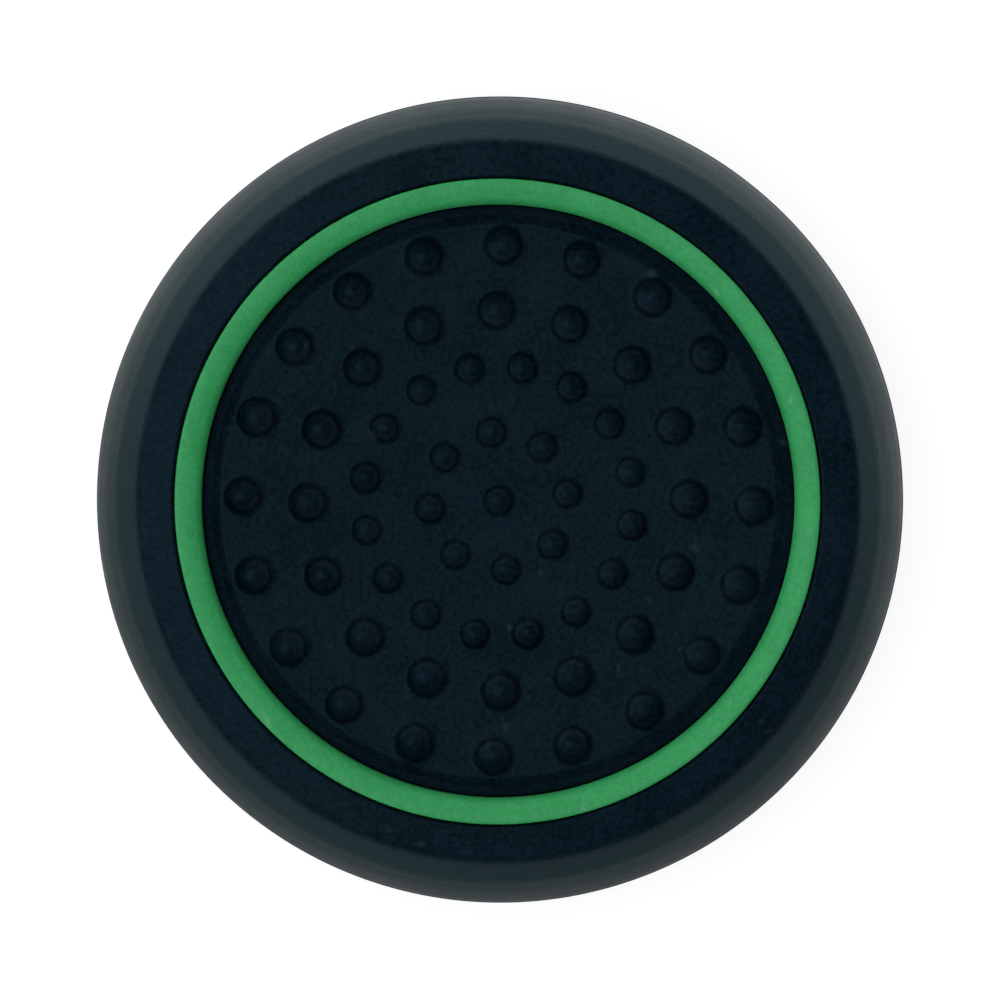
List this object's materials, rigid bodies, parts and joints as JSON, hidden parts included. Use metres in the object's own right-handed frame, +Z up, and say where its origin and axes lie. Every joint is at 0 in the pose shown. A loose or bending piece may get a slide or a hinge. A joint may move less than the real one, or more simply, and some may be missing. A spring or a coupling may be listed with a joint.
{
  "type": "controller thumb grip",
  "caption": "Round stretch-on silicone cap for a game controller's analogue stick, with a dished studded pad, a raised rounded rim, a coloured ring and a hollow with an inward lip below.",
  "frame": {"origin": "on the axis of the stick, at the flat foot of the lip that the cap stands on", "axes": "+Z up along the stick's axis towards the thumb; X and Y are level, with a stud of the outer row close to +Y"},
  "size_m": [0.02, 0.02, 0.0084],
  "materials": {
    "black_silicone": "matte moulded silicone, black with a faint blue-green cast",
    "green_silicone": "satin moulded silicone, mid green"
  },
  "bodies": {
    "root": {"grip_cap": "black_silicone", "accent_ring": "green_silicone"}
  },
  "joints": []
}
